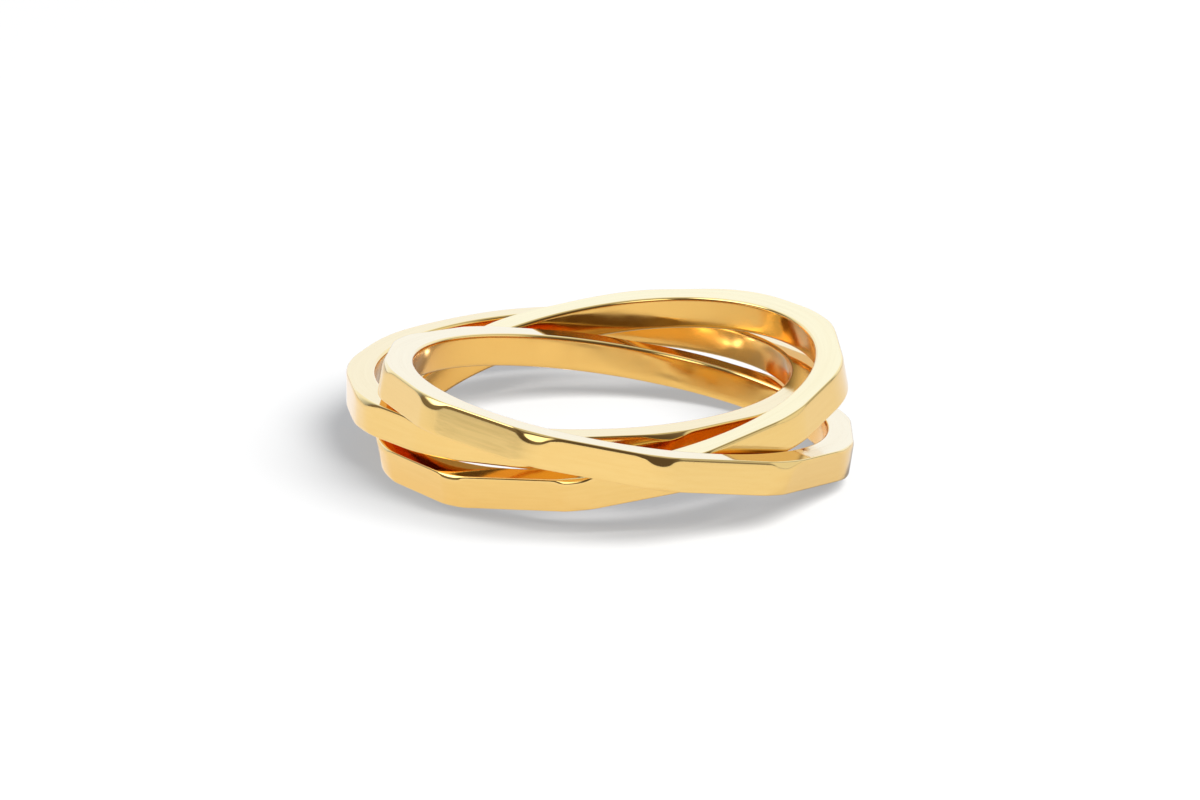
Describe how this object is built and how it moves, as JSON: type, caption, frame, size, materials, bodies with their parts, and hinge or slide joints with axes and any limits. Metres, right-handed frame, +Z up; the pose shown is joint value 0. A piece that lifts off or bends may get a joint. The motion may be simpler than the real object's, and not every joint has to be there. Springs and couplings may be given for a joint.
{
  "type": "interlocking ring",
  "caption": "Finger ring of linked gold bands, round inside and cut flat in broad facets outside, that turn through one another.",
  "frame": {"origin": "centre of the bounding box at the surface that the ring lies on", "axes": "+Z up from that surface, +X to the viewer's right in the picture, +Y away from the viewer"},
  "size_m": [0.0222, 0.0248, 0.0053],
  "materials": {
    "gold": "high polish yellow gold"
  },
  "bodies": {
    "back": {"back_band": "gold"},
    "middle": {"middle_band": "gold"},
    "front": {"front_band": "gold"}
  },
  "joints": [
    {"name": "middle_turn", "type": "hinge", "parent": "back", "child": "middle", "pos_m": [0.00059, -0.00001, 0.00257], "axis": [-0.1651, -0.0572, 0.9846], "continuous": true},
    {"name": "front_turn", "type": "hinge", "parent": "back", "child": "front", "pos_m": [0.00088, -0.00187, 0.00265], "axis": [0.1604, 0.0945, 0.9825], "continuous": true}
  ]
}
